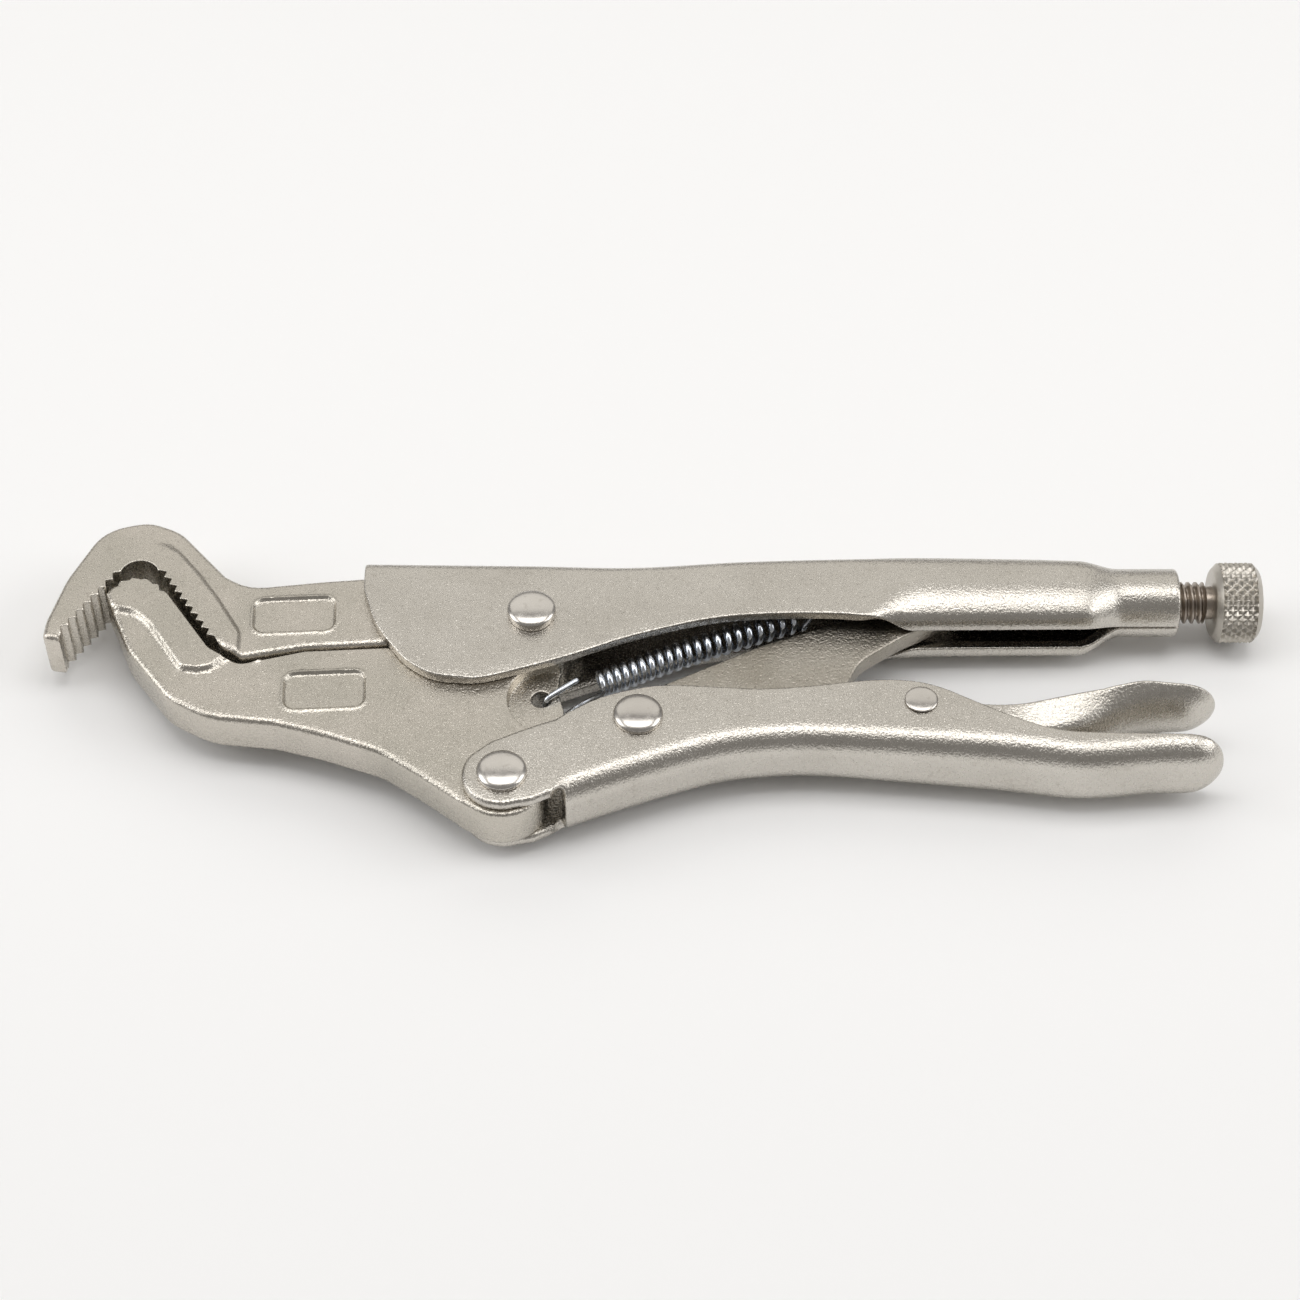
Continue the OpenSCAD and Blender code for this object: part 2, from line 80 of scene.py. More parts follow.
def add_camera():
    data = bpy.data.cameras.new("camera")
    data.sensor_width = SENSOR_WIDTH
    data.lens = FOCAL_LENGTH
    data.clip_start = 0.01
    camera = bpy.data.objects.new("camera", data)
    offset = DISTANCE * np.array([0, -math.cos(ELEVATION), math.sin(ELEVATION)])
    camera.location = AIM + offset
    camera.rotation_euler = (math.pi / 2 - ELEVATION, 0, 0)
    bpy.context.scene.collection.objects.link(camera)
    bpy.context.scene.camera = camera


add_camera()

# ---------- light and floor ----------

LIT_POINT = (0, 0, 0.01)
FLOOR_REACH = 3
FLOOR_COLOR = (0.93, 0.93, 0.93, 1)


def add_area(name, at, size, radiance, tint=(1, 1, 1)):
    """A soft rectangular panel of an even radiance, turned to the middle of the tool."""
    data = bpy.data.lights.new(name, "AREA")
    data.shape, data.size, data.size_y = "RECTANGLE", size[0], size[1]
    data.energy, data.color = radiance * math.pi * size[0] * size[1], tint
    light = bpy.data.objects.new(name, data)
    light.location = at
    backwards = Vector(at) - Vector(LIT_POINT)
    light.rotation_euler = backwards.to_track_quat("Z", "Y").to_euler()
    bpy.context.scene.collection.objects.link(light)


def add_world(strength, tint):
    """An even light from all sides."""
    world = bpy.data.worlds.new("studio")
    bpy.context.scene.world = world
    world.use_nodes = True
    back = world.node_tree.nodes["Background"]
    back.inputs["Color"].default_value = (*tint, 1)
    back.inputs["Strength"].default_value = strength


def add_floor():
    """A plain pale floor, which the tool lies on."""
    corners = [(FLOOR_REACH * x, FLOOR_REACH * y, 0) for x, y in ((-1, -1), (1, -1), (1, 1), (-1, 1))]
    mesh = bpy.data.meshes.new("floor")
    mesh.from_pydata(corners, [], [(0, 1, 2, 3)])
    floor = bpy.data.objects.new("floor", mesh)
    bpy.context.scene.collection.objects.link(floor)
    material = bpy.data.materials.new("pale_floor")
    material.use_nodes = True
    shader = material.node_tree.nodes["Principled BSDF"]
    shader.inputs["Base Color"].default_value = FLOOR_COLOR
    shader.inputs["Roughness"].default_value = 0.9
    shader.inputs["Specular IOR Level"].default_value = 0.1
    mesh.materials.append(material)


bpy.context.scene.view_settings.view_transform = "Standard"
add_world(strength=0.27, tint=(1.0, 0.97, 0.94))
add_floor()
add_area("overhead", at=(0.0, 0.04, 0.9), size=(1.0, 0.42), radiance=2.7, tint=(1.0, 0.99, 0.98))
add_area("back_panel", at=(0.0, 0.9, 0.75), size=(1.8, 0.8), radiance=0.66, tint=(1.0, 0.98, 0.93))
add_area("left_panel", at=(-1.1, 0.0, 0.7), size=(0.8, 0.8), radiance=2.5)
add_area("right_panel", at=(1.1, 0.0, 0.7), size=(0.8, 0.8), radiance=2.5)

# ---------- materials ----------


class Nodes:
    """A material whose nodes are added one call at a time."""

    def __init__(self, name):
        self.material = bpy.data.materials.new(name)
        self.material.use_nodes = True
        self.tree = self.material.node_tree
        self.shader = self.tree.nodes["Principled BSDF"]
        self.place = self.tree.nodes.new("ShaderNodeTexCoord").outputs["Object"]

    def link(self, out, socket):
        self.tree.links.new(out, socket)

    def fill(self, socket, value):
        """Set a socket to a number or a colour, or link an output to it."""
        if isinstance(value, (int, float)):
            socket.default_value = value
        elif isinstance(value, tuple):
            socket.default_value = (*value, 1)
        else:
            self.link(value, socket)

    def noise(self, scale, detail=2.0, roughness=0.5):
        node = self.tree.nodes.new("ShaderNodeTexNoise")
        node.inputs["Scale"].default_value = scale
        node.inputs["Detail"].default_value = detail
        node.inputs["Roughness"].default_value = roughness
        self.link(self.place, node.inputs["Vector"])
        return node.outputs["Fac"]

    def ramp(self, fac, stops):
        """A colour ramp through (position, grey or colour) stops."""
        node = self.tree.nodes.new("ShaderNodeValToRGB")
        ramp = node.color_ramp
        while len(ramp.elements) < len(stops):
            ramp.elements.new(0.5)
        for element, (at, color) in zip(ramp.elements, stops):
            element.position = at
            element.color = (*color, 1) if isinstance(color, tuple) else (color, color, color, 1)
        self.link(fac, node.inputs["Fac"])
        return node.outputs["Color"]

    def mix(self, fac, a, b):
        """Two colours mixed. A mix node's colours are its inputs 6 and 7 and its output 2."""
        node = self.tree.nodes.new("ShaderNodeMix")
        node.data_type = "RGBA"
        for number, value in ((0, fac), (6, a), (7, b)):
            self.fill(node.inputs[number], value)
        return node.outputs[2]

    def math(self, kind, a, b):
        node = self.tree.nodes.new("ShaderNodeMath")
        node.operation = kind
        self.fill(node.inputs[0], a)
        self.fill(node.inputs[1], b)
        return node.outputs[0]

    def bump(self, height, distance, normal=None):
        node = self.tree.nodes.new("ShaderNodeBump")
        node.inputs["Distance"].default_value = distance
        node.inputs["Strength"].default_value = 1.0
        self.link(height, node.inputs["Height"])
        if normal:
            self.link(normal, node.inputs["Normal"])
        return node.outputs["Normal"]


# Scales of the slow drift of the colour and of the dark specks, in cycles to the metre
DRIFT_SCALE = 70
SPECK_SCALE = 800
SPECK_COLOR = (0.24, 0.21, 0.17)
SPECK_STRENGTH = 0.16
# Scale of the broad pebbles, as a share of the fine grain's
PEBBLE_SHARE = 0.55
ROUGHNESS_SWING = 0.2


def nickel(name, light, dark, rough, grain, pebble, scale):
    """Plated steel: a fine grain and broader pebbles, both as heights in metres, a colour that drifts
    slowly between dark and light, and small dark specks."""
    n = Nodes(name)
    fine = n.noise(scale, 2.0, 0.6)
    coarse = n.noise(scale * PEBBLE_SHARE, 1.0, 0.5)
    drift = n.noise(DRIFT_SCALE, 3.0, 0.55)
    specks = n.ramp(n.noise(SPECK_SCALE, 2.0), [(0.60, 0.0), (0.70, 1.0)])
    tone = n.ramp(drift, [(0.35, dark), (0.65, light)])
    tone = n.mix(n.math("MULTIPLY", specks, SPECK_STRENGTH), tone, SPECK_COLOR)
    n.link(tone, n.shader.inputs["Base Color"])
    n.shader.inputs["Metallic"].default_value = 1.0
    swing = n.math("MULTIPLY", fine, ROUGHNESS_SWING)
    n.link(n.math("ADD", swing, rough - ROUGHNESS_SWING / 2), n.shader.inputs["Roughness"])
    broad = n.bump(coarse, pebble)
    n.link(n.bump(fine, grain, broad), n.shader.inputs["Normal"])
    return n.material


SATIN = nickel("satin_nickel", light=(0.62, 0.59, 0.54), dark=(0.57, 0.54, 0.49), rough=0.26,
    grain=0.0001, pebble=0.00005, scale=2600)
FORGED = nickel("forged_nickel", light=(0.61, 0.57, 0.51), dark=(0.54, 0.51, 0.45), rough=0.27,
    grain=0.0001, pebble=0.00005, scale=2500)
# The toggle link's nickel is a little rougher, and its darker colour is painted shade for the shade that
# the upper handle casts over the link
SHADED_NICKEL = nickel("shaded_nickel", light=(0.44, 0.41, 0.36), dark=(0.36, 0.33, 0.28), rough=0.30,
    grain=0.00014, pebble=0.00007, scale=2500)
BRIGHT = nickel("bright_nickel", light=(0.68, 0.65, 0.61), dark=(0.60, 0.57, 0.53), rough=0.24,
    grain=0.000001, pebble=0.000001, scale=900)
KNURLED = nickel("knurled_nickel", light=(0.56, 0.53, 0.48), dark=(0.45, 0.42, 0.37), rough=0.36,
    grain=0.00002, pebble=0.00002, scale=2500)
SCREW = nickel("screw_steel", light=(0.42, 0.37, 0.32), dark=(0.32, 0.28, 0.24), rough=0.34,
    grain=0.00001, pebble=0.00001, scale=2000)
SPRING = nickel("spring_steel", light=(0.76, 0.80, 0.86), dark=(0.64, 0.68, 0.74), rough=0.22,
    grain=0.000003, pebble=0.000003, scale=2000)

# ---------- curves and outlines ----------

# A length that stands in for none where it would divide by zero, and the gap below which two
# points of a loop are one
TINY = 1e-9
JOIN_GAP = 1e-4


def unit(v):
    """The vector v, made one long."""
    return np.asarray(v, float) / np.linalg.norm(v)


def lerp(a, b, t):
    """The value that lies the share t of the way from a to b."""
    return a + (b - a) * t


def ramp(x, a, b):
    """A smooth step from 0 at a to 1 at b."""
    t = np.clip((np.asarray(x, float) - a) / (b - a), 0, 1)
    return t * t * (3 - 2 * t)


def curve(stations, x):
    """A smooth curve through [x, y] stations, with each slope that between the two neighbours."""
    s, x = np.array(stations, float), np.asarray(x, float)
    k = np.arange(len(s))
    a, b = s[np.maximum(k - 1, 0)], s[np.minimum(k + 1, len(s) - 1)]
    slope = (b[:, 1] - a[:, 1]) / (b[:, 0] - a[:, 0])
    i = np.clip(np.searchsorted(s[:, 0], x, side="right") - 1, 0, len(s) - 2)
    h = s[i + 1, 0] - s[i, 0]
    t = np.clip((x - s[i, 0]) / h, 0, 1)
    return (
        (1 + 2 * t) * (1 - t) ** 2 * s[i, 1] + t * (1 - t) ** 2 * h * slope[i]
        + t * t * (3 - 2 * t) * s[i + 1, 1] + t * t * (t - 1) * h * slope[i + 1]
    )


def arc(centre, r, a0, a1, n):
    """Points on an arc from the angle a0 to a1, in degrees, in n steps."""
    t = np.radians(np.linspace(a0, a1, n + 1))
    return np.array(centre) + r * np.stack([np.cos(t), np.sin(t)], 1)


def rounded(points, closed=False, step=9):
    """A path through [x, y] or [x, y, r] points, where r is the radius of that corner's arc."""
    pts = [(*p, 0)[:3] for p in points]
    n, out = len(pts), []
    for i, (x, y, r) in enumerate(pts):
        if r == 0 or (not closed and i in (0, n - 1)):
            out.append((x, y))
            continue
        a, b, c = (np.array(pts[(i + k) % n][:2], float) for k in (-1, 0, 1))
        u, v = unit(a - b), unit(c - b)
        half = math.acos(max(-1, min(1, float(u @ v)))) / 2
        centre = b + unit(u + v) * r / math.sin(half)
        start = b + u * r / math.tan(half) - centre
        side = (b - a)[0] * (c - b)[1] - (b - a)[1] * (c - b)[0]
        turn = (math.pi - 2 * half) * math.copysign(1, side)
        m = max(1, round(abs(math.degrees(turn)) / step))
        for k in range(m + 1):
            co, si = math.cos(turn * k / m), math.sin(turn * k / m)
            out.append(tuple(centre + (co * start[0] - si * start[1], si * start[0] + co * start[1])))
    return np.array(out)


def teeth(a, b, n, h):
    """Saw teeth with their tips on the line from a to b, cut in on the left of the way."""
    a, b = np.array(a, float), np.array(b, float)
    d, up = (b - a) / n, unit([(a - b)[1], (b - a)[0]])
    return np.array([p for i in range(n) for p in (a + d * i, a + d * (i + 0.55) + up * h)])


def resample(path, gap, closed=False):
    """The path with every segment split into parts no longer than gap."""
    ends = np.roll(path, -1, axis=0) if closed else path[1:]
    out = []
    for a, b in zip(path, ends):
        m = max(1, math.ceil(np.linalg.norm(b - a) / gap))
        out.extend(a + (b - a) * k / m for k in range(m))
    if not closed:
        out.append(path[-1])
    return np.array(out)


def chain(parts, gap):
    """A closed counter-clockwise loop from (path, edge radius) parts: its points and their radii."""
    points, radii = [], []
    for k, (path, radius) in enumerate(parts):
        following = np.asarray(parts[(k + 1) % len(parts)][0], float)[:1]
        path = resample(np.concatenate([np.asarray(path, float), following]), gap)[:-1]
        points.append(path)
        radii.append(np.full(len(path), float(radius)))
    points, radii = np.concatenate(points), np.concatenate(radii)
    keep = np.linalg.norm(points - np.roll(points, 1, axis=0), axis=1) > JOIN_GAP
    points, radii = points[keep], radii[keep]
    if area(points) < 0:
        points, radii = points[::-1], radii[::-1]
    return points, radii


def area(loop):
    """Area of a closed loop, positive where it runs counter-clockwise."""
    following = np.roll(loop, -1, axis=0)
    return float(np.sum(loop[:, 0] * following[:, 1] - loop[:, 1] * following[:, 0]) / 2)


def inside(p, loop):
    """Which of the points p lie in a closed loop."""
    a, b = loop, np.roll(loop, -1, axis=0)
    hit = np.zeros(len(p), bool)
    for (ax, ay), (bx, by) in zip(a, b):
        if ay == by:
            continue
        crosses = (ay > p[:, 1]) != (by > p[:, 1])
        hit ^= crosses & (p[:, 0] < (bx - ax) * (p[:, 1] - ay) / (by - ay) + ax)
    return hit


def gaps(p, loop):
    """Distances from each of the points p to each segment of a closed loop."""
    d = np.roll(loop, -1, axis=0) - loop
    q = p[:, None, :] - loop[None]
    t = np.clip((q * d[None]).sum(2) / (d * d).sum(1)[None], 0, 1)
    return np.linalg.norm(q - t[:, :, None] * d[None], axis=2)


def in_parts(p, what, size=3000):
    """what(p), worked out for a few thousand points at a time to spare memory."""
    return np.concatenate([what(p[i:i + size]) for i in range(0, len(p), size)])


def nearest(p, loop):
    """Distance from each of the points p to a closed loop."""
    return in_parts(p, lambda q: gaps(q, loop).min(1))


def signed(p, loop):
    """Distance to a closed loop, positive inside it."""
    return nearest(p, loop) * np.where(inside(p, loop), 1, -1)


def inward(loop):
    """Unit normals at the points of a loop, towards its left side."""
    way = np.roll(loop, -1, axis=0) - np.roll(loop, 1, axis=0)
    way /= np.linalg.norm(way, axis=1)[:, None]
    return np.stack([-way[:, 1], way[:, 0]], 1)


# ---------- solids from a flat domain ----------

# Where rows of points lie beside a rounded edge, as shares of its radius
EDGE_ROWS = (0.076, 0.293, 0.617, 1.0)
# A row's point is left out where another edge is nearer than this share of its own distance
ROW_CLEARANCE = 0.93
# Other points keep this distance from where the rounding of an edge ends
EDGE_MARGIN = 0.25


def round_off(d, radius):
    """How far a face lies below its plane at distance d from an edge rounded with that radius."""
    inner = np.clip(radius - d, 0, radius)
    return radius - np.sqrt(np.maximum(radius * radius - inner * inner, 0))


def shell(loops, inner, place, half):
    """A closed solid over a flat domain: place(q) gives the middle surface, half(q) the half
    thickness, and each loop's radii round its edge. Returns vertices and faces."""
    outlines = [loop for loop, _ in loops]

    def within(q):
        ok = inside(q, outlines[0])
        for hole in outlines[1:]:
            ok &= ~inside(q, hole)
        return ok

    def edge_drop(q):
        drops = np.zeros(len(q))
        for loop, radii in loops:
            radius = np.minimum(radii, np.roll(radii, -1))
            here = in_parts(q, lambda r: round_off(gaps(r, loop), radius[None]).max(1))
            drops = np.maximum(drops, here)
        return drops

    def edge_gap(q):
        found = np.full(len(q), np.inf)
        for loop, radii in loops:
            reach = np.minimum(radii, np.roll(radii, -1))
            here = in_parts(q, lambda r: (gaps(r, loop) - reach[None]).min(1))
            found = np.minimum(found, here)
        return found

    edge_points = []
    for loop, radii in loops:
        normal = inward(loop)
        for share in EDGE_ROWS:
            use = radii > 0
            q = (loop + normal * (radii * share)[:, None])[use]
            far = np.min([nearest(q, other) for other in outlines], axis=0)
            edge_points.append(q[within(q) & (far > ROW_CLEARANCE * radii[use] * share)])
    inner = inner[within(inner)]
    inner = inner[edge_gap(inner) > EDGE_MARGIN]

    # Triangles over the flat domain, all turned the same way, and the points that they use
    points = np.concatenate([*outlines, *edge_points, inner])
    edges, start = [], 0
    for loop in outlines:
        edges += [(start + i, start + (i + 1) % len(loop)) for i in range(len(loop))]
        start += len(loop)
    found = delaunay_2d_cdt([Vector(p) for p in points], edges, [], 0, 1e-7)
    flat = np.array([tuple(v) for v in found[0]])
    triangles = np.array([tuple(f) for f in found[2]])
    triangles = triangles[within(flat[triangles].mean(1))]
    used = np.unique(triangles)
    number = np.full(len(flat), -1)
    number[used] = np.arange(len(used))
    flat, triangles = flat[used], number[triangles]
    corner = flat[triangles]
    u, v = corner[:, 1] - corner[:, 0], corner[:, 2] - corner[:, 0]
    flipped = u[:, 0] * v[:, 1] - u[:, 1] * v[:, 0] < 0
    triangles[flipped] = triangles[flipped][:, ::-1]

    # The two faces, a half thickness to each side of the middle surface, and the rim between them
    middle = place(flat)
    step = 0.01
    across = place(flat + (step, 0)) - place(flat - (step, 0))
    along = place(flat + (0, step)) - place(flat - (0, step))
    normal = np.cross(across, along)
    normal /= np.linalg.norm(normal, axis=1)[:, None]
    h = (half(flat) - edge_drop(flat))[:, None]
    n = len(flat)
    vertices = np.concatenate([middle + normal * h, middle - normal * h])
    faces = [tuple(t) for t in triangles] + [tuple(t[::-1] + n) for t in triangles]
    directed = {(int(t[k]), int(t[(k + 1) % 3])) for t in triangles for k in range(3)}
    for i, j in sorted(directed):
        if (j, i) not in directed:
            faces.append((j, i, i + n, j + n))
    return vertices, faces


# Height of a triangle of the grid, as a share of its side
ROW_PITCH = 0.866


def hexes(low, high, gap):
    """Points of a triangular grid over a box."""
    out = []
    for k, y in enumerate(np.arange(low[1], high[1], gap * ROW_PITCH)):
        x = np.arange(low[0], high[0], gap) + (gap / 2 if k % 2 else 0)
        out.append(np.stack([x, np.full(len(x), y)], 1))
    return np.concatenate(out)


def beside(loop, offsets):
    """Points along a loop at some distances to its left, for a finer mesh there."""
    normal = inward(loop)
    return np.concatenate([loop + normal * offset for offset in offsets])


def add_mesh(name, geometry, material):
    """A smooth object from vertices in design mm and faces."""
    vertices, faces = geometry
    mesh = bpy.data.meshes.new(name)
    mesh.from_pydata([tuple(p) for p in to_frame(vertices)], [], [tuple(int(i) for i in f) for f in faces])
    mesh.shade_smooth()
    mesh.materials.append(material)
    piece = bpy.data.objects.new(name, mesh)
    bpy.context.scene.collection.objects.link(piece)
    return piece


def solid(name, geometry, material, body, stands_for, sharp=35):
    """A rigid piece that rides on its body, with sharp edges over that angle, in degrees."""
    piece = add_mesh(name, geometry, material)
    piece.data.set_sharp_from_angle(angle=math.radians(sharp))
    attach(piece, body)
    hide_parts(stands_for)


# ---------- jaws ----------

# Half thicknesses of a jaw's shank and head, and how much thicker the fixed jaw's shank is
SHANK_HALF = 4.2
HEAD_HALF = 5.15
FIXED_EXTRA = 0.05
# Distances inside a panel's rim and inside the edge of the spring's recess where the mesh is finer
PANEL_ROWS = (-0.75, -0.5, -0.3, -0.12, 0.05, 0.2, 0.38, 0.55)
RECESS_ROWS = (-0.35, -0.15, 0.0, 0.15, 0.35)
PANEL_DEPTH = 0.42
BEAD_HEIGHT = 0.16
RECESS_DEPTH = 2.3


def panel_loop(at, length, width, turn, radius):
    """The rim of a panel with rounded corners, turned by an angle in degrees."""
    a, b = length / 2, width / 2
    loop = rounded([(-a, -b, radius), (a, -b, radius), (a, b, radius), (-a, b, radius)], closed=True)
    c, s = math.cos(math.radians(turn)), math.sin(math.radians(turn))
    return resample(loop @ np.array([[c, s], [-s, c]]) + at, 0.35, closed=True)


def panel_relief(q, rim):
    """A sunk panel with a level floor and a low bead round it."""
    d = signed(q, rim)
    bead = BEAD_HEIGHT * ramp(d, -0.75, -0.3) * (1 - ramp(d, -0.12, 0.2))
    return -PANEL_DEPTH * ramp(d, -0.12, 0.55) + bead


# Ends of the two rows of teeth: inside the hook's tip, and down the other side of its throat
TIP_TEETH = ((-87.6, -12), (-78.4, 3.4))
THROAT_TEETH = ((-71.2, 3.8), (-59.3, -14.2))


def flat_place(q):
    """The middle plane."""
    return np.concatenate([q, np.zeros((len(q), 1))], 1)


def fixed_jaw():
    """A toothed hook on a flat shank. The hook is thicker, and the step to it fades out over its back."""
    back = rounded([
        (-30, 2.9), (-40.4, 1.9), (-53.8, 0.2, 9), (-58.5, 3.2), (-68.4, 15, 7), (-74.6, 16.6, 9),
        (-83, 14.4, 9), (-88.4, 1.6, 12), (-90.9, -9, 6), (-91, -13.2, 1.2), (-87.7, -13.7)])
    belly = rounded([
        (-57.9, -14.7), (-57.3, -15.4), (-53.6, -17.4, 1.5), (-42, -15), (-30, -14.2), (-11, -12.6)])
    loop = chain([
        (back, 1.0),
        (teeth(*TIP_TEETH, 8, 1.0), 0.16),
        (arc((-74.8, 2.5), 3.7, 166, 20, 12), 0.2),
        (teeth(*THROAT_TEETH, 10, 1.05), 0.16),
        (belly, 1.25),
        ([(-11, 2.2)], 0.3),
    ], 0.5)
    step = rounded([
        (-79.8, 11.3), (-77.7, 12.1, 2), (-69.9, 12.0, 4), (-63.4, 3.6, 20), (-59.2, -2.6, 20),
        (-54.0, -11.5, 5), (-53.9, -15.3)])
    hook = resample(np.concatenate([step, [(-53.9, -24), (-100, -30), (-100, 11)]]), 0.4, closed=True)
    if area(hook) < 0:
        hook = hook[::-1]
    rim = panel_loop((-44.6, -6.8), 15.4, 8.6, 3, 2.2)
    inner = np.concatenate([
        hexes((-92, -20), (-10, 18), 1.0),
        beside(hook, (-0.2, 0.1, 0.35, 0.6, 0.9, 1.2)),
        beside(rim, PANEL_ROWS),
    ])

    def half(q):
        reach = lerp(1.2, 4.5, ramp(q[:, 1], 8, 12))
        over_back = ramp(-q[:, 0], 68, 75) * ramp(q[:, 1], 4, 8)
        level = lerp(ramp(signed(q, hook) / reach, -0.15, 0.85), 1, over_back)
        rise = (HEAD_HALF - SHANK_HALF - FIXED_EXTRA) * level
        return SHANK_HALF + FIXED_EXTRA + rise + panel_relief(q, rim)

    return shell([loop], inner, flat_place, half)


def movable_jaw():
    """A thick toothed tongue, a shank, the jaw pivot's lobe, a thin recess with a hole for the
    spring's hook, and the lever pivot's lobe."""
    tip = [(-78.3, 0.6), (-78.3, 1), (-76.4, 1.2), (-76.1, 1.9), (-74.1, 1.4), (-73.4, 1.8), (-71.8, 0.2),
        (-70.8, 0.3), (-70.4, -1.4)]
    back = rounded([(-69.2, -1.6), (-59.9, -15.5, 3), (-56.8, -17.7, 3), (-53.6, -18.9, 3), (-42, -15.8)])
    waist = rounded([
        (7.4, -14.2), (5.4, -20, 4), (5.2, -24, 4), (6.6, -29, 4), (3.8, -37, 8), (3.7, -44.5)])
    belly = rounded([
        (-12.6, -50.4), (-19.6, -44.9, 14), (-26.6, -39.9, 14), (-37.5, -35.8, 24), (-46.5, -33.2),
        (-58.5, -31.8, 14), (-66.4, -27.2, 12), (-75, -15.6, 14), (-80.7, -2.1, 0.8), (-80, -0.4)], step=5)
    loop = chain([
        (tip, 0.16),
        (back, 0.3),
        ([(-28, -15), (-13, -13.8)], 0.3),
        (arc(JAW_PIVOT, 9.4, 205, -15, 24), 0.3),
        (waist, 0.4),
        (arc(LEVER_PIVOT, 8, 0, -125, 16), 0.8),
        (belly, 1.2),
    ], 0.5)
    step = rounded([
        (-56.6, -18.1), (-58.8, -20.3, 2.5), (-61.4, -21.0, 3), (-64.8, -20.4, 2.5), (-71.8, -9.4, 4),
        (-74.9, -6.6, 4), (-85, -4.2)])
    tongue = resample(np.concatenate([[(-85, 8), (-60, 8), (-50, -18.2)], step]), 0.4, closed=True)
    if area(tongue) < 0:
        tongue = tongue[::-1]
    rim = panel_loop((-37.6, -25.2), 15, 8.8, 3, 2.2)
    recess = resample(arc((4.2, -27), 8.2, 0, 358, 90), 0.5, closed=True)
    hole = arc((2.1, -25.6), 1.9, 360, 0, 32)[:-1]
    inner = np.concatenate([
        hexes((-82, -56), (11, 4), 1.05),
        beside(tongue, (-0.3, 0.05, 0.3, 0.55, 0.8, 1.1)),
        beside(rim, PANEL_ROWS),
        beside(recess, RECESS_ROWS),
    ])

    def half(q):
        rise = (HEAD_HALF - SHANK_HALF) * ramp(signed(q, tongue), -0.45, 0.85)
        sunk = RECESS_DEPTH * ramp(signed(q, recess), -0.2, 0.2)
        return SHANK_HALF + rise - sunk + panel_relief(q, rim)

    return shell([loop, (hole, np.full(len(hole), 0.2))], inner, flat_place, half)


solid("fixed_jaw_forging", fixed_jaw(), FORGED, "upper", "fixed_jaw")
solid("movable_jaw_forging", movable_jaw(), FORGED, "jaw", "movable_jaw")

# ---------- bent sheet ----------


def follow(rho, top, parts):
    """Points (z, y) on a section, rho along it from the web's middle. Each part is a length and the
    angle that the sheet turns over it, and the web starts out level."""
    z, y, heading, rest = 0, top, 0, rho
    for length, turn in parts:
        use = np.clip(rest, 0, length)
        bend = turn * use / np.maximum(length, TINY)
        chord = use * np.sinc(bend / 2 / math.pi)
        z = z + chord * np.cos(heading + bend / 2)
        y = y - chord * np.sin(heading + bend / 2)
        heading, rest = heading + turn, rest - use
    return z + rest * np.cos(heading), y - rest * np.sin(heading)


def bent(section, flip=1, bow=None, reach=0.0):
    """A map from a flat strip (x, s) to the middle surface of a bent sheet. s runs from the middle of
    the web to each side, along the parts of the section. Past x = bow the strip ends in a half
    disc, which becomes a bowl turned about an upright axis."""

    def place(q):
        x, s = q[:, 0], q[:, 1]
        past = np.zeros(len(q)) if bow is None else np.maximum(x - bow, 0)
        rho = np.maximum(np.hypot(past, s), TINY)
        turn = past / rho
        z, y = follow(rho, *section(x - past + np.minimum(rho, reach) * turn))
        return np.stack([x - past + z * turn, y * flip, z * s / rho], 1)

    return place


def on_wall(section, path, flip=1):
    """A path in the side view, (x, y) on the straight wall, as (x, s)."""
    path = np.asarray(path, float)
    top, parts = section(path[:, 0])
    until = sum(length for length, _ in parts[:2])
    return np.stack([path[:, 0], until + follow(until, top, parts)[1] - path[:, 1] * flip], 1)


def strip_rows(section, xs, end_s, counts):
    """Mesh points on both halves of a strip, with a number of rows for each part of the section."""
    _, parts = section(xs)
    lengths = [xs * 0] + [np.broadcast_to(length, xs.shape) for length, _ in parts]
    breaks = [np.minimum(v, end_s) for v in np.cumsum(lengths, axis=0)]
    breaks[-1] = end_s
    out = []
    for a, b, n in zip(breaks, breaks[1:], counts):
        for k in range(n):
            s = a + (b - a) * k / n
            use = (b - a) > 0.05
            out += [np.stack([xs[use], s[use]], 1), np.stack([xs[use], -s[use]], 1)]
    return np.unique(np.round(np.concatenate(out), 4), axis=0)


def bowl_rows(section, rim, bow, reach, counts):
    """Mesh points on the half disc that ends a strip."""
    out = []
    for angle in np.radians(np.arange(-88, 89, 8)):
        x = np.array([bow + reach * math.cos(angle)])
        across = strip_rows(section, x, rim(x), counts)[:, 1]
        s = across[across > 0.3]
        out.append(np.stack([bow + s * math.cos(angle), s * math.sin(angle)], 1))
    return np.concatenate(out)


def bowl_edge(rim, bow, reach):
    """The rim of the half disc."""
    angles = np.radians(np.arange(0, 90, 4))
    around = rim(bow + reach * np.sin(angles))
    return np.stack([bow + around * np.sin(angles), around * np.cos(angles)], 1)


def mirrored(half_loop):
    """A whole loop from the half with s >= 0, as (path, edge radius) parts in order."""
    back = [(np.asarray(path, float)[::-1] * (1, -1), radius) for path, radius in half_loop[::-1]]
    return list(half_loop) + back


# ---------- upper handle ----------

SHEET = 2.2
